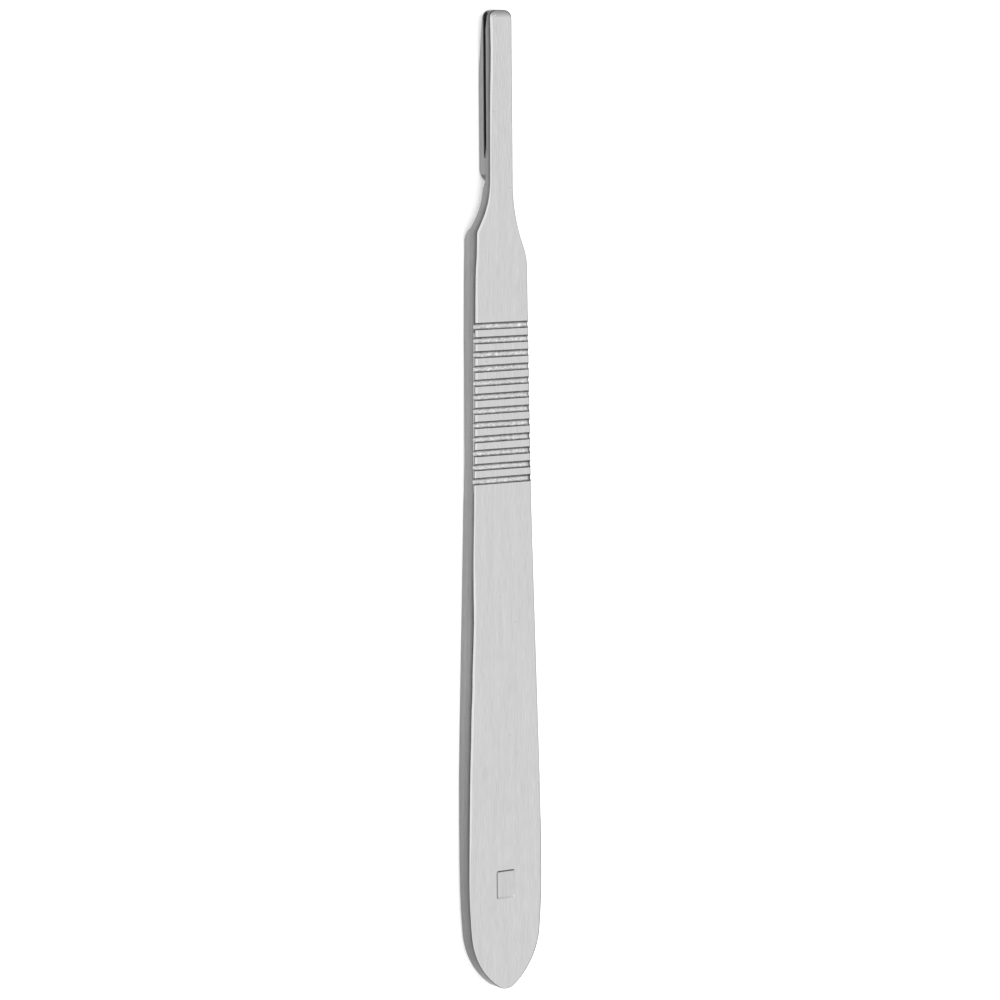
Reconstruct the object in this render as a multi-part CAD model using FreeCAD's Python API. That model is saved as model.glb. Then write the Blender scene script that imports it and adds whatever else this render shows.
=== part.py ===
import FreeCAD, Part
import math
import os

Vec = FreeCAD.Vector

# A one-piece scalpel handle that takes the larger standard blades. Sizes are in millimetres.
# It lies on its back: X runs along it towards the blade end, Y across it, and Z up out of
# the front face. Places along it are measured from the blade end, and depths from the front face.

# The whole bar
length = 135.0
thickness = 3.0
front_edge_round = 0.25
back_edge_round = 0.4

# The body: a straight grip, a slow flare from its waist, a swell, and a butt that narrows
# through a tight cheek to a small round nose
shoulder_width = 8.4
waist_place = 67.8
waist_width = 9.33
waist_blend = 5.0
swell_before_butt = 16.5
swell_width = 11.8
swell_blend = 7.7
swell_rear_radius = 97.0
cheek_radius = 10.6
nose_radius = 2.2

# The tang and its neck: one flank leaves the tang in a tight sweep, the other in a long one
tang_width = 3.72
tang_shift = -0.16
tip_corner_radius = 0.85
tip_bevel = 0.3
near_flare_start = 22.9
near_flare_radius = 10.3
near_shoulder_radius = 1.6
far_flare_start = 23.5
far_flare_radius = 23.0
far_shoulder_radius = 8.0

# The raised boss that the slot of a blade slides over
boss_depth = 2.87
nose_ramp_length = 8.3
nose_ramp_drop = 1.15
boss_end = 23.6
boss_rear_overhang = 0.08
rear_slant_start = 21.5
rear_slant_angle = 24.0

# The undercut along each flank of the boss, where the edges of the slot run
plate_thickness = 0.95
undercut_opening = 0.57
undercut_reach = 0.55
undercut_end = 20.0
saw_radius = 31.6
mouth_length = 2.8
mouth_drop = 0.55

# The seat behind the boss and the slanted ledge that the heel of a blade meets
seat_depth = 1.6
notch_depth = 0.6
notch_floor_end = 22.3
notch_ramp_end = 23.7
ledge_start = 31.0
ledge_rise_angle = 33.0
ledge_skew_angle = 27.0

# The grip: round-bottomed grooves milled right across the front face
grip_start = 42.14
groove_count = 12
groove_pitch = 1.921
groove_width = 1.0
groove_depth = 0.4

# How far a cutter runs past what it cuts, and how near two places count as one
overrun = 1.0
same_place = 0.001


def at(from_tip, across, depth):
    """A point given from the blade end, across the handle, and below the front face."""
    return Vec(length / 2 - from_tip, across, thickness - depth)


def arc_through(start, middle, end):
    return Part.Arc(start, middle, end).toShape()


def arc_about(centre, radius, start, end):
    """The shorter arc about a centre, between two points that lie on it."""
    middle = centre + ((start - centre).normalize() + (end - centre).normalize()).normalize() * radius
    return arc_through(start, middle, end)


def square_to(direction, side):
    """The level direction at right angles to another, on the given side of the handle."""
    turned = Vec(-direction.y, direction.x, 0)
    return turned if turned.y * side > 0 else turned * -1


def corner_blend(before, corner, after, reach):
    """The arc that rounds a corner of the outline, touching both sides at one reach from it."""
    to_before = (before - corner).normalize()
    to_after = (after - corner).normalize()
    half_angle = to_before.getAngle(to_after) / 2
    centre = corner + (to_before + to_after).normalize() * (reach / math.cos(half_angle))
    radius = reach * math.tan(half_angle)
    return arc_about(centre, radius, corner + to_before * reach, corner + to_after * reach)


def centre_between(first, first_reach, second, second_reach, side):
    """The centre that lies at one distance from each of two others, on the given side."""
    gap = second - first
    along = gap.normalize()
    span = (second - first).Length
    run = (first_reach ** 2 - second_reach ** 2 + span ** 2) / (2 * span)
    offset = math.sqrt(first_reach ** 2 - run ** 2)
    return first + along * run + square_to(along, side) * offset


def flank_edges(side, flare_start, flare_radius):
    """The outline of one long side, from the corner of the blade end to the tip of the butt."""
    tang_edge = tang_shift + side * tang_width / 2
    shoulder_edge = side * shoulder_width / 2
    rise = abs(shoulder_edge - tang_edge)
    sweep = math.acos(1 - rise / flare_radius)
    corner = at(0, tang_edge, thickness)
    flare = at(flare_start, tang_edge, thickness)
    flare_centre = at(flare_start, tang_edge + side * flare_radius, thickness)
    shoulder = at(flare_start + flare_radius * math.sin(sweep), shoulder_edge, thickness)

    waist = at(waist_place, side * waist_width / 2, thickness)
    swell = at(length - swell_before_butt, side * swell_width / 2, thickness)
    swell_corner = swell + Vec(swell_blend, 0, 0)
    waist_arc = corner_blend(shoulder, waist, swell_corner, waist_blend)
    swell_arc = corner_blend(waist, swell_corner, swell, swell_blend)

    rear_centre = swell - Vec(0, side * swell_rear_radius, 0)
    nose_centre = at(length - nose_radius, 0, thickness)
    cheek_centre = centre_between(
        rear_centre, swell_rear_radius - cheek_radius, nose_centre, cheek_radius - nose_radius, side
    )
    cheek_front = rear_centre + (cheek_centre - rear_centre).normalize() * swell_rear_radius
    cheek_rear = cheek_centre + (nose_centre - cheek_centre).normalize() * cheek_radius
    butt = at(length, 0, thickness)
    return [
        Part.makeLine(corner, flare),
        arc_about(flare_centre, flare_radius, flare, shoulder),
        Part.makeLine(shoulder, waist_arc.Vertexes[0].Point),
        waist_arc,
        Part.makeLine(waist_arc.Vertexes[-1].Point, swell_arc.Vertexes[0].Point),
        swell_arc,
        arc_about(rear_centre, swell_rear_radius, swell, cheek_front),
        arc_about(cheek_centre, cheek_radius, cheek_front, cheek_rear),
        arc_about(nose_centre, nose_radius, cheek_rear, butt),
    ]


def upright_edges_near(shape, spot):
    """The edges that stand upright at a place of the plan."""
    found = []
    for edge in shape.Edges:
        ends = [edge.Vertexes[0].Point, edge.Vertexes[-1].Point]
        if all(math.hypot(end.x - spot.x, end.y - spot.y) < same_place for end in ends):
            found.append(edge)
    return found


def level_edges_at(shape, height):
    """The edges that lie wholly at one height."""
    found = []
    for edge in shape.Edges:
        box = edge.BoundBox
        if abs(box.ZMin - height) < same_place and abs(box.ZMax - height) < same_place:
            found.append(edge)
    return found


def make_blank():
    """The forged and ground bar: its plan, with every corner and long edge eased."""
    near_side = flank_edges(1, near_flare_start, near_flare_radius)
    far_side = flank_edges(-1, far_flare_start, far_flare_radius)
    near_corner = near_side[0].Vertexes[0].Point
    far_corner = far_side[0].Vertexes[0].Point
    end_edge = Part.makeLine(far_corner, near_corner)
    plan = Part.Wire(Part.__sortEdges__(near_side + far_side + [end_edge]))
    bar = Part.Face(plan).extrude(Vec(0, 0, thickness))

    corner_rounds = [
        (near_corner, tip_corner_radius),
        (far_corner, tip_corner_radius),
        (near_side[2].Vertexes[0].Point, near_shoulder_radius),
        (far_side[2].Vertexes[0].Point, far_shoulder_radius),
    ]
    for spot, radius in corner_rounds:
        bar = bar.makeFillet(radius, upright_edges_near(bar, spot))
    bar = bar.makeFillet(front_edge_round, level_edges_at(bar, thickness))
    return bar.makeFillet(back_edge_round, level_edges_at(bar, 0))


def side_prism(profile, direction):
    """A cutter whose shape is a side profile, run right across the bar along a level direction."""
    start = direction * (-swell_width / direction.y)
    points = [at(place, 0, depth) + start for place, depth in profile]
    outline = Part.makePolygon(points + points[:1])
    return Part.Face(outline).extrude(start * -2)


def make_boss_relief():
    """What is ground off the back of the boss: its top, the nose ramp and the slanted rear."""
    ramp_slope = nose_ramp_drop / nose_ramp_length
    slant_run = boss_end + overrun - rear_slant_start
    slant_fall = slant_run * math.tan(math.radians(rear_slant_angle))
    below = thickness + overrun
    profile = [
        (-overrun, boss_depth - nose_ramp_drop - ramp_slope * overrun),
        (nose_ramp_length, boss_depth),
        (rear_slant_start, boss_depth),
        (rear_slant_start + slant_run, boss_depth - slant_fall),
        (rear_slant_start + slant_run, below),
        (-overrun, below),
    ]
    return side_prism(profile, Vec(0, 1, 0))


def make_seat_relief():
    """What is milled away behind the boss, down to the seat and up the slanted ledge."""
    boss_radius = tang_width / 2 + boss_rear_overhang
    boss_centre = boss_end - boss_radius
    below = thickness + overrun
    far_behind = grip_start
    seat = side_prism(
        [
            (boss_centre, notch_depth),
            (notch_floor_end, notch_depth),
            (notch_ramp_end, seat_depth),
            (far_behind, seat_depth),
            (far_behind, below),
            (boss_centre, below),
        ],
        Vec(0, 1, 0),
    )
    rise = math.tan(math.radians(ledge_rise_angle))

    def on_ledge(depth):
        return (ledge_start + (depth - seat_depth) / rise, depth)

    skew = math.tan(math.radians(ledge_skew_angle))
    ledge = side_prism(
        [(0, 0), on_ledge(0), on_ledge(below), (0, below)],
        Vec(skew, 1, 0),
    )
    boss_round = Part.makeCylinder(boss_radius, below, at(boss_centre, tang_shift, below))
    return seat.common(ledge).cut(boss_round)


def make_undercut(side):
    """The slot sawn along one flank of the boss, with its run-out and its flared mouth."""
    flank = tang_shift + side * tang_width / 2
    floor = flank - side * undercut_reach
    clear = undercut_reach + overrun
    run_out = math.sqrt(2 * saw_radius * undercut_reach - undercut_reach ** 2)
    saw_centre = undercut_end - run_out
    leaves_at = math.acos(1 - clear / saw_radius)
    depth = plate_thickness + undercut_opening

    def on_saw(angle):
        run = saw_radius * math.sin(angle)
        climb = saw_radius * (1 - math.cos(angle))
        return at(saw_centre + run, floor + side * climb, depth)

    inner = at(-overrun, floor, depth)
    outer = at(-overrun, floor + side * clear, depth)
    plan = Part.Wire([
        Part.makeLine(inner, on_saw(0)),
        arc_through(on_saw(0), on_saw(leaves_at / 2), on_saw(leaves_at)),
        Part.makeLine(on_saw(leaves_at), outer),
        Part.makeLine(outer, inner),
    ])
    slot = Part.Face(plan).extrude(Vec(0, 0, undercut_opening))

    mouth_slope = mouth_drop / mouth_length
    lip = plate_thickness - mouth_drop - mouth_slope * overrun
    corners = [
        at(-overrun, floor, lip),
        at(mouth_length, floor, plate_thickness),
        at(-overrun, floor, plate_thickness),
    ]
    mouth = Part.Face(Part.makePolygon(corners + corners[:1])).extrude(Vec(0, side * clear, 0))
    return slot.fuse(mouth)


def make_tip_bevel():
    """The small bevel along the front edge of the blade end."""
    profile = [(-overrun, -overrun), (tip_bevel + overrun, -overrun), (-overrun, tip_bevel + overrun)]
    return side_prism(profile, Vec(0, 1, 0))


def make_grip_grooves():
    """The row of round-bottomed grooves across the front face."""
    radius = (groove_width ** 2 / 4 + groove_depth ** 2) / (2 * groove_depth)
    grooves = []
    for number in range(groove_count):
        place = grip_start + groove_width / 2 + number * groove_pitch
        axis_start = at(place, -swell_width, groove_depth - radius)
        grooves.append(Part.makeCylinder(radius, 2 * swell_width, axis_start, Vec(0, 1, 0)))
    return grooves


def make_handle():
    cutters = [make_boss_relief(), make_seat_relief(), make_undercut(1), make_undercut(-1), make_tip_bevel()]
    handle = make_blank()
    for cutter in cutters + make_grip_grooves():
        handle = handle.cut(cutter)
    return handle


def save(node, shape):
    os.makedirs("parts", exist_ok=True)
    shape.exportStep(os.path.join("parts", node + ".step"))


save("handle", make_handle())
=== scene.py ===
import math

import bmesh
import bpy
from mathutils import Matrix, Vector


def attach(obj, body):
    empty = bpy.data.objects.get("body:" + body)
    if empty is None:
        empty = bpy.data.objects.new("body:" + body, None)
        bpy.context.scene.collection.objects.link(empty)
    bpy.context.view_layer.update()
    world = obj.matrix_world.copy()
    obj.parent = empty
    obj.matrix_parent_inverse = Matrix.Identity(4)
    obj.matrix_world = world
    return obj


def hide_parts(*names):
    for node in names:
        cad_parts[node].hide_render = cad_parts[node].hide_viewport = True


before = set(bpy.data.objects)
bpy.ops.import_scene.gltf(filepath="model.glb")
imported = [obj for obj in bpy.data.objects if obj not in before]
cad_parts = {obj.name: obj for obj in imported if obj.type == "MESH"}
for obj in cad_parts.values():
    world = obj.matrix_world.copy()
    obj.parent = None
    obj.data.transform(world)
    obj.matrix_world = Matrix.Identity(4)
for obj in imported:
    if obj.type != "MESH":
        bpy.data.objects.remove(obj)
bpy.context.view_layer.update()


# The table top and the light. A white board on which the handle lies on its back, an even white
# room, a wide and a narrow soft box hung over the handle, and grey cards stood round it, which
# draw its edges and the walls of its grooves.
def board(name, corners, material):
    mesh = bpy.data.meshes.new(name)
    mesh.from_pydata(corners, [], [range(len(corners))])
    mesh.materials.append(material)
    thing = bpy.data.objects.new(name, mesh)
    bpy.context.scene.collection.objects.link(thing)
    return thing


matt = 0.9


def plain_material(name, shade):
    material = bpy.data.materials.new(name)
    material.use_nodes = True
    shader = material.node_tree.nodes["Principled BSDF"]
    shader.inputs["Base Color"].default_value = (shade, shade, shade, 1)
    shader.inputs["Roughness"].default_value = matt
    return material


def light_path_seen(tree):
    """One for rays from the camera, from polish and from glass, and nought for the rest."""
    nodes, links = tree.nodes, tree.links
    path = nodes.new("ShaderNodeLightPath")
    seen = path.outputs["Is Camera Ray"]
    for also in ("Is Glossy Ray", "Is Transmission Ray"):
        either = nodes.new("ShaderNodeMath")
        either.operation = "MAXIMUM"
        links.new(seen, either.inputs[0])
        links.new(path.outputs[also], either.inputs[1])
        seen = either.outputs[0]
    return seen


table_half = 3.0
table_drop = 0.00002
board_shade = 0.93
board_glow = 0.4
room_light = 1.0
white_board = plain_material("white_board", board_shade)
tree = white_board.node_tree
glow = tree.nodes.new("ShaderNodeEmission")
glow.inputs["Strength"].default_value = board_glow
lit = tree.nodes.new("ShaderNodeAddShader")
shown = tree.nodes.new("ShaderNodeMixShader")
tree.links.new(tree.nodes["Principled BSDF"].outputs[0], lit.inputs[0])
tree.links.new(glow.outputs[0], lit.inputs[1])
tree.links.new(light_path_seen(tree), shown.inputs[0])
tree.links.new(tree.nodes["Principled BSDF"].outputs[0], shown.inputs[1])
tree.links.new(lit.outputs[0], shown.inputs[2])
tree.links.new(shown.outputs[0], tree.nodes["Material Output"].inputs["Surface"])
table = board(
    "table_top",
    [
        (-table_half, -table_half, -table_drop),
        (table_half, -table_half, -table_drop),
        (table_half, table_half, -table_drop),
        (-table_half, table_half, -table_drop),
    ],
    white_board,
)

for name, start, end, height, shade in [
    ("card_left", (-0.5, 0.16), (0.5, 0.16), 0.25, 0.45),
    ("card_right", (-0.5, -0.5), (0.5, -0.5), 0.28, 0.45),
    ("card_butt", (-0.35, -0.4), (-0.35, 0.15), 0.25, 0.22),
    ("card_tip", (0.35, -0.4), (0.35, 0.15), 0.07, 0.22),
]:
    card = board(name, [(*start, 0), (*end, 0), (*end, height), (*start, height)],
                 plain_material(name, shade))
    card.visible_camera = False

room = bpy.context.scene.world or bpy.data.worlds.new("room")
bpy.context.scene.world = room
room.use_nodes = True
room.node_tree.nodes["Background"].inputs["Color"].default_value = (1, 1, 1, 1)
room.node_tree.nodes["Background"].inputs["Strength"].default_value = room_light

for name, place, long_way, wide_way, power in [
    ("wide_soft_box", (0, -0.35, 0.9), 1.6, 1.2, 1.7),
    ("narrow_soft_box", (0, 0.2, 0.85), 1.4, 0.6, 1.6),
]:
    lamp = bpy.data.lights.new(name, "AREA")
    lamp.shape = "RECTANGLE"
    lamp.size = long_way
    lamp.size_y = wide_way
    lamp.energy = power
    holder = bpy.data.objects.new(name, lamp)
    holder.location = place
    holder.visible_camera = False
    bpy.context.scene.collection.objects.link(holder)


# The camera. It looks down on the handle from beyond its blade end and its left flank.
side_lean = math.radians(31.02)
end_lean = math.radians(7.15)
camera_roll = math.radians(-0.412)
camera_distance = 0.5389
lens_length = 141.8
aim_height = 0.003
lens_in_pixels = 3938.9
aim_right = math.atan(3.27 / lens_in_pixels)
aim_up = math.atan(-6.70 / lens_in_pixels)
film_width = 36
nearest_seen = 0.01

backward = Vector((math.sin(end_lean), math.sin(side_lean) * math.cos(end_lean),
                   math.cos(side_lean) * math.cos(end_lean)))
level_right = Vector((1, 0, 0)).cross(backward).normalized()
level_up = backward.cross(level_right)
right = level_right * math.cos(camera_roll) + level_up * math.sin(camera_roll)
up = level_up * math.cos(camera_roll) - level_right * math.sin(camera_roll)
forward = -backward
right, forward = (right * math.cos(aim_right) + forward * math.sin(aim_right),
                  forward * math.cos(aim_right) - right * math.sin(aim_right))
up, forward = (up * math.cos(aim_up) + forward * math.sin(aim_up),
               forward * math.cos(aim_up) - up * math.sin(aim_up))
camera = bpy.data.cameras.new("camera")
camera.lens = lens_length
camera.sensor_width = film_width
camera.clip_start = nearest_seen
camera_holder = bpy.data.objects.new("camera", camera)
camera_holder.matrix_world = Matrix((
    (right.x, up.x, -forward.x, backward.x * camera_distance),
    (right.y, up.y, -forward.y, backward.y * camera_distance),
    (right.z, up.z, -forward.z, backward.z * camera_distance + aim_height),
    (0, 0, 0, 1),
))
bpy.context.scene.collection.objects.link(camera_holder)
bpy.context.scene.camera = camera_holder
bpy.context.scene.view_settings.view_transform = "Standard"


# The handle. One bar of stainless steel, forged, ground to its outline and brushed lengthwise.
# Its sizes are in millimetres, and places along it are measured from the blade end, until the
# finished mesh is brought to metres.
length = 135.0
thickness = 3.0

# Its outline: straight runs and arcs, each side in turn, from the blade end to the tip of the butt
tang_half = 1.86
tang_shift = -0.16
tip_corner_radius = 1.1
shoulder_half = 4.2
waist_place = 67.8
waist_half = 4.665
waist_blend = 5.0
swell_place = 118.5
swell_half = 5.9
swell_blend = 7.7
swell_rear_radius = 97.0
cheek_radius = 10.6
nose_radius = 2.2
arc_step = math.radians(4)
run_step = 1.5
long_arc_step = 1.2


def run(start, end):
    """Points along a straight run, each with the way out of the bar, without the last."""
    start, end = Vector(start), Vector(end)
    count = max(1, round((end - start).length / run_step))
    along = (end - start).normalized()
    out = Vector((-along.y, along.x))
    return [(start.lerp(end, i / count), out) for i in range(count)]


def arc(centre, start, end, hollow=False):
    """Points along the shorter arc, each with the way out of the bar, without the last."""
    centre, start, end = Vector(centre), Vector(start), Vector(end)
    first, last = start - centre, end - centre
    sweep = math.atan2(first.x * last.y - first.y * last.x, first.dot(last))
    radius = first.length
    count = max(2, round(abs(sweep) / arc_step), round(radius * abs(sweep) / long_arc_step))
    points = []
    for i in range(count):
        angle = sweep * i / count
        turned = Vector((first.x * math.cos(angle) - first.y * math.sin(angle),
                         first.x * math.sin(angle) + first.y * math.cos(angle)))
        points.append((centre + turned, turned.normalized() * (-1 if hollow else 1)))
    return points


def blend_corner(before, corner, after, reach):
    """Both ends and the centre of the arc that rounds a corner of the outline."""
    to_before, to_after = (before - corner).normalized(), (after - corner).normalized()
    half_angle = to_before.angle(to_after) / 2
    centre = corner + (to_before + to_after).normalized() * (reach / math.cos(half_angle))
    return corner + to_before * reach, corner + to_after * reach, centre


def meeting(first, first_reach, second, second_reach):
    """The point at one distance from each of two others, on the outer side."""
    gap = second - first
    along = gap.normalized()
    part = (first_reach ** 2 - second_reach ** 2 + gap.length ** 2) / (2 * gap.length)
    offset = math.sqrt(first_reach ** 2 - part ** 2)
    return first + along * part + Vector((-along.y, along.x)) * offset


def flank(tang_edge, flare_start, flare_radius, shoulder_radius):
    """One side of the outline, as places along and across, with the ways out."""
    rise = shoulder_half - tang_edge
    sweep = math.acos(1 - rise / flare_radius)
    flare_centre = Vector((flare_start, tang_edge + flare_radius))
    flare = Vector((flare_start, tang_edge))
    shoulder = Vector((flare_start + flare_radius * math.sin(sweep), shoulder_half))
    waist = Vector((waist_place, waist_half))
    swell = Vector((swell_place, swell_half))
    swell_corner = swell - Vector((swell_blend, 0))
    waist_in, waist_out, waist_centre = blend_corner(shoulder, waist, swell_corner, waist_blend)
    swell_in, swell_out, swell_centre = blend_corner(waist, swell_corner, swell, swell_blend)

    grip_way = (waist - shoulder).normalized()
    inward = Vector((grip_way.y, -grip_way.x))
    level = shoulder + inward * shoulder_radius - flare_centre
    reach = flare_radius + shoulder_radius
    back = level.dot(grip_way)
    slide = -back + math.sqrt(back ** 2 - level.length_squared + reach ** 2)
    shoulder_centre = flare_centre + level + grip_way * slide
    shoulder_in = flare_centre + (shoulder_centre - flare_centre).normalized() * flare_radius
    shoulder_out = shoulder_centre - inward * shoulder_radius

    rear_centre = swell - Vector((0, swell_rear_radius))
    nose_centre = Vector((length - nose_radius, 0))
    cheek_centre = meeting(rear_centre, swell_rear_radius - cheek_radius,
                           nose_centre, cheek_radius - nose_radius)
    cheek_in = rear_centre + (cheek_centre - rear_centre).normalized() * swell_rear_radius
    cheek_out = cheek_centre + (nose_centre - cheek_centre).normalized() * cheek_radius
    corner = tip_corner_radius
    return (
        run((0, 0), (0, tang_edge - corner))
        + arc((corner, tang_edge - corner), (0, tang_edge - corner), (corner, tang_edge))
        + run((corner, tang_edge), flare)
        + arc(flare_centre, flare, shoulder_in, hollow=True)
        + arc(shoulder_centre, shoulder_in, shoulder_out)
        + run(shoulder_out, waist_in)
        + arc(waist_centre, waist_in, waist_out, hollow=True)
        + run(waist_out, swell_in)
        + arc(swell_centre, swell_in, swell_out)
        + arc(rear_centre, swell, cheek_in)
        + arc(cheek_centre, cheek_in, cheek_out)
        + arc(nose_centre, cheek_out, (length, 0))
    )


near_flank = flank(tang_half + tang_shift, 22.9, 10.3, 1.6)
far_flank = flank(tang_half - tang_shift, 23.5, 23.0, 8.0)

# Its flanks, ground a little hollow of square above their lower third, and its long edges, eased by
# hand on a wheel, so that they are broader in some places than in others
near_inset_by_place = [(0, 0.38), (3.7, 0.45), (5.3, 0.47), (8.5, 0.42), (10, 0.35), (12, 0.25),
                       (15, 0.155), (20, 0.09), (23, 0.06), (24.6, 0.06), (26, 0.2), (28, 0.4),
                       (29.5, 0.6), (31, 0.58), (32.7, 0.56), (34.3, 0.44), (36, 0.38), (40, 0.37),
                       (43, 0.38), (60, 0.36), (65, 0.13), (68, 0.15), (71, 0.12), (75, 0.15),
                       (78, 0.33), (80, 0.44), (83, 0.53), (86.4, 0.51), (89, 0.455),
                       (93, 0.465), (96, 0.39),
                       (100, 0.4), (103, 0.32), (108, 0.31), (113, 0.255), (116.6, 0.16),
                       (121, 0.07), (125, 0.05), (127.5, 0.06), (131, 0.05), (135, 0.15)]
near_edge_by_place = [(0, 0.33), (36, 0.3), (42, 0.36), (60, 0.36), (66, 0.2), (80, 0.33),
                      (135, 0.33)]
far_inset_by_place = [(0, 0.3), (20, 0.26), (60, 0.32), (90, 0.32), (118, 0.29), (132, 0.27),
                      (135, 0.17)]
far_edge_by_place = [(0, 0.3), (135, 0.3)]
edge_share = 0.85
back_edge_by_place = [(0, 0.35), (6, 0.35), (11, 0.2), (21, 0.2), (28, 0.33), (33, 0.25),
                      (36, 0.15), (44, 0.15), (49, 0.27), (55, 0.35), (61, 0.45), (64, 0.35), (68, 0.17),
                      (83, 0.15), (98, 0.12), (104, 0.18), (110, 0.32), (115, 0.42), (120, 0.5),
                      (135, 0.45)]
tip_inset = 0.65
tip_edge = 0.3
tip_reach = 5.0
tip_bow = 0.12
lean_foot = 1.0
lean_steps = 5
edge_steps = 7
slope_rounds = 3
# On the near side the flat rim along the front edge is coloured lighter, a painted highlight, as wide as
# listed here
near_highlight_rim_by_place = [(0, 0.13), (112, 0.13), (120, 0.05), (135, 0.04)]
far_rim = 0.04
grip_stretch = (42.5, 64.5)
butt_start = 112


def by_place(table, place):
    """A value that runs smoothly from one listed place to the next."""
    for (start, low), (end, high) in zip(table, table[1:]):
        if place <= end:
            share = (place - start) / (end - start)
            return low + (high - low) * share * share * (3 - 2 * share)
    return table[-1][1]


def section_rings(back, front, lean, across, rim):
    """How far in and how high the bar's surface lies, from its back face round to its front.
    The front edge is this high and this broad, over a flank that leans in."""
    top = thickness - front
    for _ in range(slope_rounds):
        slope = math.atan(2 * lean / (top - lean_foot))
        top = thickness - front + front * math.sin(slope)
    rings = [(back + far_rim, 0)]
    for i in range(edge_steps + 1):
        angle = math.pi / 2 * i / edge_steps
        rings.append((back * (1 - math.sin(angle)), back * (1 - math.cos(angle))))
    for i in range(lean_steps):
        share = i / lean_steps
        rings.append((lean * share * share, lean_foot + (top - lean_foot) * share))
    for i in range(edge_steps + 1):
        angle = slope + (math.pi / 2 - slope) * i / edge_steps
        rings.append((lean + across * (math.cos(slope) - math.cos(angle)),
                      thickness - front * (1 - math.sin(angle))))
    rings.append((lean + across * math.cos(slope) + rim, thickness))
    return rings


steel = bpy.data.materials.new("brushed_steel")
# steel for the flanks and the slot lips: ground, and darkened with painted shade
ground_and_shaded = bpy.data.materials.new("ground_steel_painted_shade")
# lighter steel for the near rim: a painted highlight
painted_rim_highlight = bpy.data.materials.new("painted_highlight_steel")
# milled steel, coloured darker partly as painted shade
milled_and_shaded = bpy.data.materials.new("milled_steel_painted_shade")
# sawn steel, coloured very dark: painted shadow in the cuts
sawn_and_shaded = bpy.data.materials.new("sawn_steel_painted_shade")
# rough steel for the grooves, with painted shade and painted light
grooved_and_shaded = bpy.data.materials.new("grooved_steel_painted_shade")
pressed = bpy.data.materials.new("pressed_steel")

outline = []
for side, points, inset_table, edge_table in [
    (1, near_flank + [(Vector((length, 0)), Vector((1, 0)))],
     near_inset_by_place, near_edge_by_place),
    (-1, list(reversed(far_flank[1:])), far_inset_by_place, far_edge_by_place),
]:
    for place, out in points:
        end_on = abs(out.x) if place.x < tip_reach else 0
        inset = by_place(inset_table, place.x)
        edge = min(by_place(edge_table, place.x), inset * edge_share)
        lean = (inset - edge) * (1 - end_on)
        across = edge * (1 - end_on) + tip_inset * end_on
        edge = edge * (1 - end_on) + tip_edge * end_on
        rim = by_place(near_highlight_rim_by_place, place.x) if side > 0 else far_rim
        rings = section_rings(by_place(back_edge_by_place, place.x), edge, lean, across, rim)
        bowed = place.x + tip_bow * end_on * (place.y / tang_half) ** 2
        outline.append((bowed, place.y * side, -out.x, out.y * side, rings))

build = bmesh.new()
loops = []
for place, across, out_x, out_y, rings in outline:
    x = length / 2 - place
    loops.append([build.verts.new((x - out_x * inset, across - out_y * inset, height))
                  for inset, height in rings])
wall_start = edge_steps + 1
wall_end = wall_start + lean_steps + 1
# The front edge's arc takes the flank's darkened finish for a few more rows, so that its painted shade
# draws a dark line along the edge: on the near side outside the grip, on the far side at the butt. On
# the near side the flat rim past the arc takes the painted highlight.
near_edge_rows_painted_dark = 3
butt_edge_rows_painted_dark = 6
steel_index, ground_and_shaded_index, painted_rim_highlight_index = range(3)
for number, this in enumerate(loops):
    following = loops[(number + 1) % len(loops)]
    near = outline[number][1] > 0
    in_grip = grip_stretch[0] < outline[number][0] < grip_stretch[1]
    painted_dark_end = wall_end
    if near and not in_grip:
        painted_dark_end += near_edge_rows_painted_dark
    elif not near and outline[number][0] > butt_start:
        painted_dark_end += butt_edge_rows_painted_dark
    for low in range(len(this) - 1):
        face = build.faces.new((this[low], following[low], following[low + 1], this[low + 1]))
        if wall_start <= low < painted_dark_end:
            face.material_index = ground_and_shaded_index
        elif near and low == len(this) - 2:
            face.material_index = painted_rim_highlight_index
        else:
            face.material_index = steel_index
build.faces.new([loop[0] for loop in reversed(loops)])
build.faces.new([loop[-1] for loop in loops])
bar = bpy.data.meshes.new("bar")
build.to_mesh(bar)
build.free()
for material in (steel, ground_and_shaded, painted_rim_highlight):
    bar.materials.append(material)


# Its blade fitting: a raised boss with a slot sawn along each flank, ground off at the nose and
# the rear, then a seat milled behind it, up to the slanted ledge that the heel of a blade meets.
overrun = 1.0
boss_depth = 2.87
nose_ramp_length = 8.8
nose_ramp_drop = 1.17
boss_end = 23.6
boss_rear_overhang = 0.08
rear_slant_start = 21.5
rear_slant_angle = math.radians(24)
rear_slant_past = 0.1
plate_thickness = 1.0
undercut_opening = 0.6
undercut_reach = 0.55
undercut_end = 20.0
saw_radius = 31.6
mouth_length = 2.8
mouth_drop = 0.55
seat_depth = 1.5
seat_fall = 0.05
notch_depth = 1.1
notch_floor_end = 22.4
notch_ramp_end = 24.2
ledge_start = 31.1
ledge_rise_angle = math.radians(33)
ledge_skew_angle = math.radians(27)
lip_round = 0.07
saw_steps = 16


def at(place, across, depth):
    """A point given from the blade end, across the handle, and below the front face."""
    return Vector((length / 2 - place, across, thickness - depth))


def prism(name, points, way, material):
    """A closed cutter: a flat outline carried along one way."""
    build = bmesh.new()
    face = build.faces.new([build.verts.new(p) for p in points])
    carried = bmesh.ops.extrude_face_region(build, geom=[face])
    moved = [v for v in carried["geom"] if isinstance(v, bmesh.types.BMVert)]
    bmesh.ops.translate(build, verts=moved, vec=way)
    bmesh.ops.recalc_face_normals(build, faces=build.faces)
    mesh = bpy.data.meshes.new(name)
    build.to_mesh(mesh)
    build.free()
    mesh.materials.append(material)
    return mesh


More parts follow.
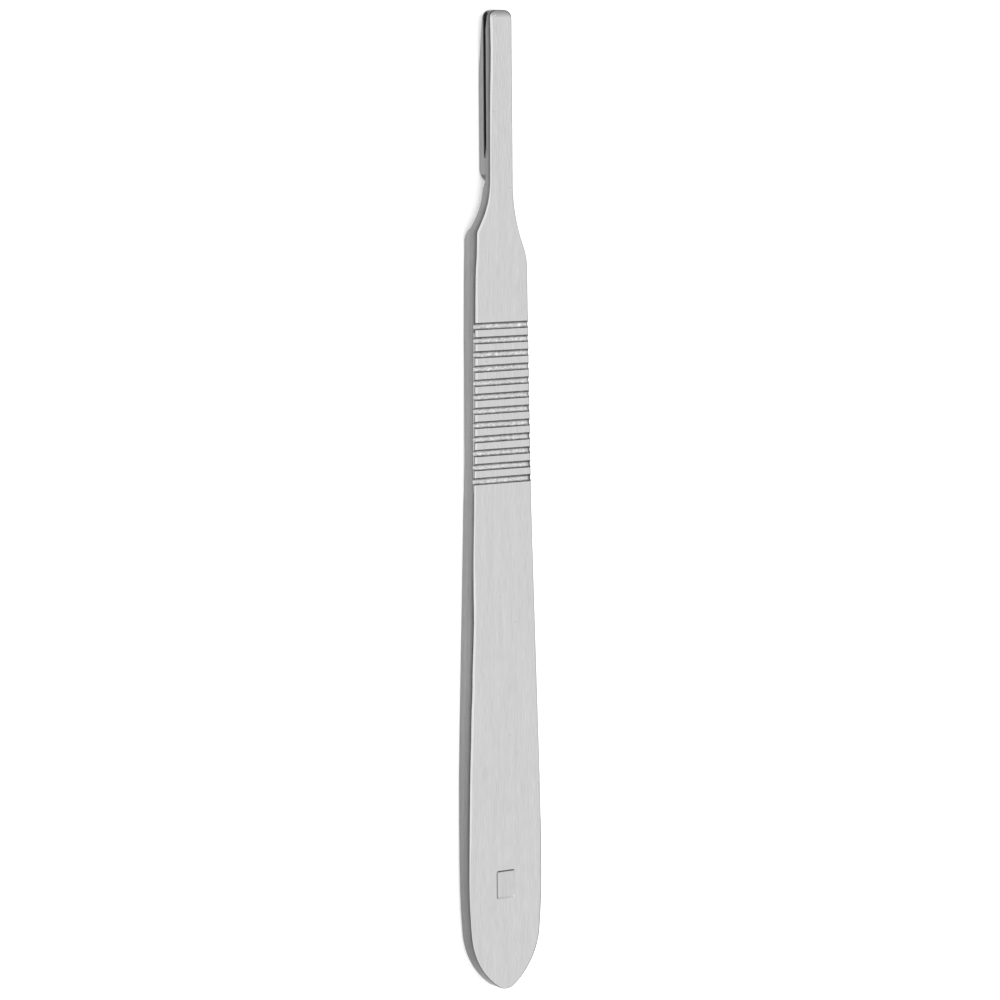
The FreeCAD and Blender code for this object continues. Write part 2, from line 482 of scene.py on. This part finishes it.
def side_prism(name, profile, way, material):
    """A cutter whose side profile runs right across the bar."""
    start = Vector(way) * (-swell_half * 2 / way[1])
    points = [at(place, 0, depth) + start for place, depth in profile]
    return prism(name, points, start * -2, material)


def combine(first, second, operation="DIFFERENCE"):
    """One solid cut from, joined to or kept within another. The cut takes the cutter's finish."""
    holders = [bpy.data.objects.new("work", mesh) for mesh in (first, second)]
    for holder in holders:
        bpy.context.scene.collection.objects.link(holder)
    step = holders[0].modifiers.new("step", "BOOLEAN")
    step.operation = operation
    step.solver = "EXACT"
    step.material_mode = "TRANSFER"
    step.object = holders[1]
    seen = holders[0].evaluated_get(bpy.context.evaluated_depsgraph_get())
    result = bpy.data.meshes.new_from_object(seen)
    for holder in holders:
        bpy.data.objects.remove(holder)
    return result


below = thickness + overrun
ramp_slope = nose_ramp_drop / nose_ramp_length
slant_run = boss_end + rear_slant_past - rear_slant_start
slant_fall = slant_run * math.tan(rear_slant_angle)
boss_relief = side_prism("boss_relief", [
    (-overrun, boss_depth - nose_ramp_drop - ramp_slope * overrun),
    (nose_ramp_length, boss_depth),
    (rear_slant_start, boss_depth),
    (rear_slant_start + slant_run, boss_depth - slant_fall),
    (rear_slant_start + slant_run, below),
    (-overrun, below),
], (0, 1, 0), milled_and_shaded)

boss_radius = tang_half + boss_rear_overhang
boss_centre = boss_end - boss_radius
seat_overreach = 30
far_behind = ledge_start + seat_overreach
seat = side_prism("seat", [
    (boss_centre, notch_depth),
    (notch_floor_end, notch_depth),
    (notch_ramp_end, seat_depth + seat_fall * (ledge_start - notch_ramp_end)),
    (far_behind, seat_depth + seat_fall * (ledge_start - far_behind)),
    (far_behind, below),
    (boss_centre, below),
], (0, 1, 0), milled_and_shaded)
ledge_rise = math.tan(ledge_rise_angle)
ledge = side_prism("ledge", [
    (0, 0),
    (ledge_start - seat_depth / ledge_rise, 0),
    (ledge_start + (below - seat_depth) / ledge_rise, below),
    (0, below),
], (math.tan(ledge_skew_angle), 1, 0), milled_and_shaded)
round_steps = 48
round_points = [
    at(boss_centre + boss_radius * math.cos(math.tau * i / round_steps),
       tang_shift + boss_radius * math.sin(math.tau * i / round_steps), below)
    for i in range(round_steps)
]
boss_round = prism("boss_round", round_points, Vector((0, 0, below)), sawn_and_shaded)
seat_relief = combine(combine(seat, ledge, "INTERSECT"), boss_round)


def undercut(side):
    """The slot along one flank: its sawn run with the run-out, its flared mouth, its eased lips."""
    flank_line = tang_shift + side * tang_half
    floor = flank_line - side * undercut_reach
    clear = undercut_reach + overrun
    run_out = math.sqrt(2 * saw_radius * undercut_reach - undercut_reach ** 2)
    saw_centre = undercut_end - run_out
    leaves_at = math.acos(1 - clear / saw_radius)
    depth = plate_thickness + undercut_opening
    plan = [at(-overrun, floor + side * clear, depth), at(-overrun, floor, depth)]
    for i in range(saw_steps + 1):
        angle = leaves_at * i / saw_steps
        plan.append(at(saw_centre + saw_radius * math.sin(angle),
                       floor + side * saw_radius * (1 - math.cos(angle)), depth))
    slot = prism("slot", plan, Vector((0, 0, undercut_opening)), sawn_and_shaded)

    lip = plate_thickness - mouth_drop - mouth_drop / mouth_length * overrun
    corners = [at(-overrun, floor, lip), at(mouth_length, floor, plate_thickness),
               at(-overrun, floor, plate_thickness)]
    mouth = prism("mouth", corners, Vector((0, side * clear, 0)), sawn_and_shaded)
    lips = prism("lips", [
        at(-overrun, flank_line - side * lip_round, plate_thickness),
        at(-overrun, flank_line + side * overrun, plate_thickness - lip_round - overrun),
        at(-overrun, flank_line + side * overrun, depth + lip_round + overrun),
        at(-overrun, flank_line - side * lip_round, depth),
    ], Vector((-undercut_end, 0, 0)), ground_and_shaded)
    return [slot, mouth, lips]


handle_mesh = bar
for cutter in [boss_relief, seat_relief] + undercut(1) + undercut(-1):
    handle_mesh = combine(handle_mesh, cutter)


# Its grip: round-bottomed grooves milled right across the front face and left rough.
grip_start = 42.14
groove_count = 12
groove_pitch = 1.921
groove_width = 1.0
groove_depth = 0.4
groove_seed = 7
groove_roughness = 0.07
groove_radius = (groove_width ** 2 / 4 + groove_depth ** 2) / (2 * groove_depth)
rod_length = swell_half * 2.6
rod_vertices = 40
rod_segments = 90
rod_lean = 0.004
rod_turn = 0.006
rod_grain = 2.6
rod_grain_detail = 3


def groove_tree():
    """A row of rough rods, set across the bar at one pitch, that the grooves are cut with."""
    tree = bpy.data.node_groups.new("grip_grooves", "GeometryNodeTree")
    face = tree.interface
    for name, kind in [("Count", "NodeSocketInt"), ("Pitch", "NodeSocketFloat"),
                       ("Radius", "NodeSocketFloat"), ("Length", "NodeSocketFloat"),
                       ("First", "NodeSocketVector"), ("Roughness", "NodeSocketFloat"),
                       ("Seed", "NodeSocketInt")]:
        face.new_socket(name, in_out="INPUT", socket_type=kind)
    face.new_socket("Geometry", in_out="OUTPUT", socket_type="NodeSocketGeometry")
    nodes, links = tree.nodes, tree.links
    given = nodes.new("NodeGroupInput")
    rods_out = nodes.new("NodeGroupOutput")

    step = nodes.new("ShaderNodeCombineXYZ")
    back = nodes.new("ShaderNodeMath")
    back.operation = "MULTIPLY"
    back.inputs[1].default_value = -1
    links.new(given.outputs["Pitch"], back.inputs[0])
    links.new(back.outputs[0], step.inputs["X"])
    row = nodes.new("GeometryNodeMeshLine")
    links.new(given.outputs["Count"], row.inputs["Count"])
    links.new(given.outputs["First"], row.inputs["Start Location"])
    links.new(step.outputs[0], row.inputs["Offset"])

    rod = nodes.new("GeometryNodeMeshCylinder")
    rod.inputs["Vertices"].default_value = rod_vertices
    rod.inputs["Side Segments"].default_value = rod_segments
    links.new(given.outputs["Radius"], rod.inputs["Radius"])
    links.new(given.outputs["Length"], rod.inputs["Depth"])

    lean = nodes.new("FunctionNodeRandomValue")
    lean.data_type = "FLOAT_VECTOR"
    lean.inputs["Min"].default_value = (math.pi / 2, -rod_lean, -rod_turn)
    lean.inputs["Max"].default_value = (math.pi / 2, rod_lean, rod_turn)
    links.new(given.outputs["Seed"], lean.inputs["Seed"])
    placed = nodes.new("GeometryNodeInstanceOnPoints")
    links.new(row.outputs["Mesh"], placed.inputs["Points"])
    links.new(rod.outputs["Mesh"], placed.inputs["Instance"])
    links.new(lean.outputs["Value"], placed.inputs["Rotation"])
    real = nodes.new("GeometryNodeRealizeInstances")
    links.new(placed.outputs["Instances"], real.inputs["Geometry"])

    grain = nodes.new("ShaderNodeTexNoise")
    grain.inputs["Scale"].default_value = rod_grain
    grain.inputs["Detail"].default_value = rod_grain_detail
    middle = nodes.new("ShaderNodeVectorMath")
    middle.operation = "SUBTRACT"
    middle.inputs[1].default_value = (0.5, 0.5, 0.5)
    links.new(grain.outputs["Color"], middle.inputs[0])
    sized = nodes.new("ShaderNodeVectorMath")
    sized.operation = "SCALE"
    links.new(middle.outputs[0], sized.inputs[0])
    links.new(given.outputs["Roughness"], sized.inputs["Scale"])
    moved = nodes.new("GeometryNodeSetPosition")
    links.new(real.outputs["Geometry"], moved.inputs["Geometry"])
    links.new(sized.outputs[0], moved.inputs["Offset"])
    finish = nodes.new("GeometryNodeSetMaterial")
    finish.inputs["Material"].default_value = grooved_and_shaded
    links.new(moved.outputs["Geometry"], finish.inputs["Geometry"])
    links.new(finish.outputs["Geometry"], rods_out.inputs["Geometry"])
    return tree


rods_mesh = bpy.data.meshes.new("grip_grooves")
rods_holder = bpy.data.objects.new("grip_grooves", rods_mesh)
bpy.context.scene.collection.objects.link(rods_holder)
row_of_rods = rods_holder.modifiers.new("row", "NODES")
row_of_rods.node_group = groove_tree()
given_sizes = {
    "Count": groove_count, "Pitch": groove_pitch, "Radius": groove_radius, "Length": rod_length,
    "First": at(grip_start + groove_width / 2, 0, groove_depth - groove_radius),
    "Roughness": groove_roughness, "Seed": groove_seed,
}
for socket in row_of_rods.node_group.interface.items_tree:
    if socket.item_type == "SOCKET" and socket.in_out == "INPUT":
        row_of_rods[socket.identifier] = given_sizes[socket.name]
seen = rods_holder.evaluated_get(bpy.context.evaluated_depsgraph_get())
rods = bpy.data.meshes.new_from_object(seen)
bpy.data.objects.remove(rods_holder)
handle_mesh = combine(handle_mesh, rods)


# A shallow panel with sloping walls, pressed into its front face near the butt
panel_place = 120.17
panel_half_length = 2.0
panel_half_width = 1.5
panel_corner = 0.35
panel_depth = 0.14
panel_wall = 0.25
panel_corner_steps = 4


def panel_outline(grow, depth):
    """A rectangle with round corners, this much larger than the panel."""
    points = []
    for quarter, (a, b) in enumerate([(1, 1), (-1, 1), (-1, -1), (1, -1)]):
        for i in range(panel_corner_steps + 1):
            angle = math.pi / 2 * (quarter + i / panel_corner_steps)
            reach = panel_corner + grow
            points.append(at(
                panel_place + a * (panel_half_length - panel_corner) + reach * math.cos(angle),
                b * (panel_half_width - panel_corner) + reach * math.sin(angle), depth))
    return points


build = bmesh.new()
layers = [[build.verts.new(p) for p in panel_outline(grow, depth)]
          for grow, depth in [(-panel_wall, panel_depth), (panel_wall, -panel_depth)]]
for layer in layers:
    build.faces.new(layer)
for i in range(len(layers[0])):
    build.faces.new((layers[0][i], layers[0][i - 1], layers[1][i - 1], layers[1][i]))
bmesh.ops.recalc_face_normals(build, faces=build.faces)
sunk_panel = bpy.data.meshes.new("sunk_panel")
build.to_mesh(sunk_panel)
build.free()
sunk_panel.materials.append(pressed)
handle_mesh = combine(handle_mesh, sunk_panel)


# Its finish: brushed lengthwise all over, duller where it was ground, milled or sawn, and rough in
# its grooves, whose walls are darker than their floors. Painted shade darkens the flanks, the edges,
# the milled and sawn cuts and the grooves, and a painted highlight lightens the near rim
brushed_lines = (420, 7000, 7000)
broad_lines = (90, 1400, 1400)
broad_share = 0.35
line_roughness = 0.6
usual_noise = (0.3, 0.7)
pits_in_a_metre = 400
pit_edges = (0.02, 0.045)
pit_tone = 0.7
roughness_play = 0.06
line_height = 0.00001
turns_counted = 100


def steel_finish_and_shade(material, shade, roughness, streak, bump, stretch=brushed_lines, shadings=(),
                 groove_row_painted_shade=None):
    """Steel with tool marks and painted shade. A shading is an axis, two places on it, and how light
    each is, painted into the colour. A groove row has its first edge, its pitch, the share of it that
    is groove, and both walls' painted tones."""
    material.use_nodes = True
    nodes, links = material.node_tree.nodes, material.node_tree.links
    shader = nodes["Principled BSDF"]
    shader.inputs["Metallic"].default_value = 1.0
    place = nodes.new("ShaderNodeTexCoord")

    def spread(value, low, high, to_low, to_high):
        spread_out = nodes.new("ShaderNodeMapRange")
        spread_out.inputs["From Min"].default_value = low
        spread_out.inputs["From Max"].default_value = high
        spread_out.inputs["To Min"].default_value = to_low
        spread_out.inputs["To Max"].default_value = to_high
        links.new(value, spread_out.inputs["Value"])
        return spread_out.outputs["Result"]

    def marks(drawn, detail):
        drawn_out = nodes.new("ShaderNodeMapping")
        drawn_out.inputs["Scale"].default_value = drawn
        links.new(place.outputs["Object"], drawn_out.inputs["Vector"])
        lines = nodes.new("ShaderNodeTexNoise")
        lines.inputs["Scale"].default_value = 1.0
        lines.inputs["Detail"].default_value = detail
        lines.inputs["Roughness"].default_value = line_roughness
        links.new(drawn_out.outputs["Vector"], lines.inputs["Vector"])
        return lines.outputs["Fac"]

    fine = marks(stretch, 4)
    broad = marks(broad_lines, 2)
    pits = nodes.new("ShaderNodeTexVoronoi")
    pits.inputs["Scale"].default_value = pits_in_a_metre
    links.new(place.outputs["Object"], pits.inputs["Vector"])
    broad_streak = streak * broad_share
    tones = [spread(fine, *usual_noise, 1 - streak, 1 + streak),
             spread(broad, *usual_noise, 1 - broad_streak, 1 + broad_streak),
             spread(pits.outputs["Distance"], *pit_edges, pit_tone, 1)]
    parts = nodes.new("ShaderNodeSeparateXYZ")
    links.new(place.outputs["Object"], parts.inputs[0])
    for axis, *places_and_tones in shadings:
        tones.append(spread(parts.outputs[axis], *places_and_tones))
    # the groove row paints one wall of each groove darker and the other lighter: painted shade and light
    if groove_row_painted_shade:
        first_edge, pitch, share, tip_wall_painted_shade, butt_wall_painted_light = groove_row_painted_shade
        turns = spread(parts.outputs["X"], first_edge, first_edge - turns_counted * pitch,
                       0, turns_counted)
        along_one = nodes.new("ShaderNodeMath")
        along_one.operation = "FRACT"
        links.new(turns, along_one.inputs[0])
        tones.append(spread(along_one.outputs[0], 0, share, tip_wall_painted_shade, butt_wall_painted_light))
    tone = tones[0]
    for next_tone in tones[1:]:
        both = nodes.new("ShaderNodeMath")
        both.operation = "MULTIPLY"
        links.new(tone, both.inputs[0])
        links.new(next_tone, both.inputs[1])
        tone = both.outputs[0]
    painted = nodes.new("ShaderNodeVectorMath")
    painted.operation = "SCALE"
    painted.inputs[0].default_value = (shade, shade, shade)
    links.new(tone, painted.inputs["Scale"])
    links.new(painted.outputs[0], shader.inputs["Base Color"])
    links.new(spread(fine, 0, 1, roughness - roughness_play, roughness + roughness_play),
              shader.inputs["Roughness"])
    raised = nodes.new("ShaderNodeBump")
    raised.inputs["Strength"].default_value = bump
    raised.inputs["Distance"].default_value = line_height
    links.new(fine, raised.inputs["Height"])
    links.new(raised.outputs["Normal"], shader.inputs["Normal"])


# The face and near rim darken towards the tip end: painted shade
tip_painted_shade = ("X", 0.0664, 0.0671, 1, 0.55)
steel_finish_and_shade(steel, shade=0.495, roughness=0.24, streak=0.075, bump=0.4, shadings=[tip_painted_shade])
# The near rim: lighter steel, a painted highlight, darkened like the face towards the tip end
steel_finish_and_shade(painted_rim_highlight, shade=0.63, roughness=0.2, streak=0.06, bump=0.3, shadings=[tip_painted_shade])
# The flanks and slot lips: ground steel, its base darker than the face partly as painted shade, and
# darker still towards the top, towards the butt and at the tip end, all painted shade
steel_finish_and_shade(ground_and_shaded, shade=0.29, roughness=0.3, streak=0.12, bump=0.4,
             shadings=[("Z", 0.0013, 0.0019, 1, 0.82), ("Z", 0.0022, 0.00275, 1, 0.58),
                       ("X", -0.055, -0.02, 0.78, 1), ("X", -0.0665, -0.058, 0.6, 1),
                       ("X", 0.0668, 0.0672, 1, 0.7)])
# The boss relief, seat and ledge: milled steel, coloured darker than the face partly as painted shade
steel_finish_and_shade(milled_and_shaded, shade=0.27, roughness=0.32, streak=0.25, bump=0.6)
# The slots, their mouths and the boss's round rear: sawn steel, coloured very dark, painted shadow in
# the cuts
steel_finish_and_shade(sawn_and_shaded, shade=0.16, roughness=0.45, streak=0.1, bump=0.3)
# The grooves: rough steel, painted dark towards their rims and at their far ends, painted shade; the
# wall towards the tip is painted darker and the wall towards the butt painted lighter
steel_finish_and_shade(grooved_and_shaded, shade=0.6, roughness=0.34, streak=0.4, bump=0.9, stretch=(6500, 2200, 6500),
             shadings=[("Z", 0.00268, 0.00292, 1, 0.1), ("Y", -0.0044, -0.004, 0.15, 1)],
             groove_row_painted_shade=((length / 2 - grip_start) / 1000, groove_pitch / 1000,
                         groove_width / groove_pitch, 0.6, 1.15))
steel_finish_and_shade(pressed, shade=0.48, roughness=0.3, streak=0.1, bump=0.4)

# Its mesh is closed, brought to metres and shaded with its flats flat
sharp_above = math.radians(24)
merge_within = 0.0005
to_metres = 0.001
even_out = 100
build = bmesh.new()
build.from_mesh(handle_mesh)
bmesh.ops.remove_doubles(build, verts=build.verts, dist=merge_within)
bmesh.ops.dissolve_degenerate(build, edges=build.edges, dist=merge_within)
bmesh.ops.scale(build, verts=build.verts, vec=(to_metres, to_metres, to_metres))
build.to_mesh(handle_mesh)
build.free()
handle_mesh.name = "handle_steel"
handle_mesh.shade_smooth()
handle_mesh.set_sharp_from_angle(angle=sharp_above)
handle = bpy.data.objects.new("handle_steel", handle_mesh)
bpy.context.scene.collection.objects.link(handle)
evened = handle.modifiers.new("evened", "WEIGHTED_NORMAL")
evened.keep_sharp = True
evened.weight = even_out
seen = handle.evaluated_get(bpy.context.evaluated_depsgraph_get())
handle.data = bpy.data.meshes.new_from_object(seen)
handle.modifiers.clear()
handle.data.name = "handle_steel"
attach(handle, "root")
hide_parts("handle")
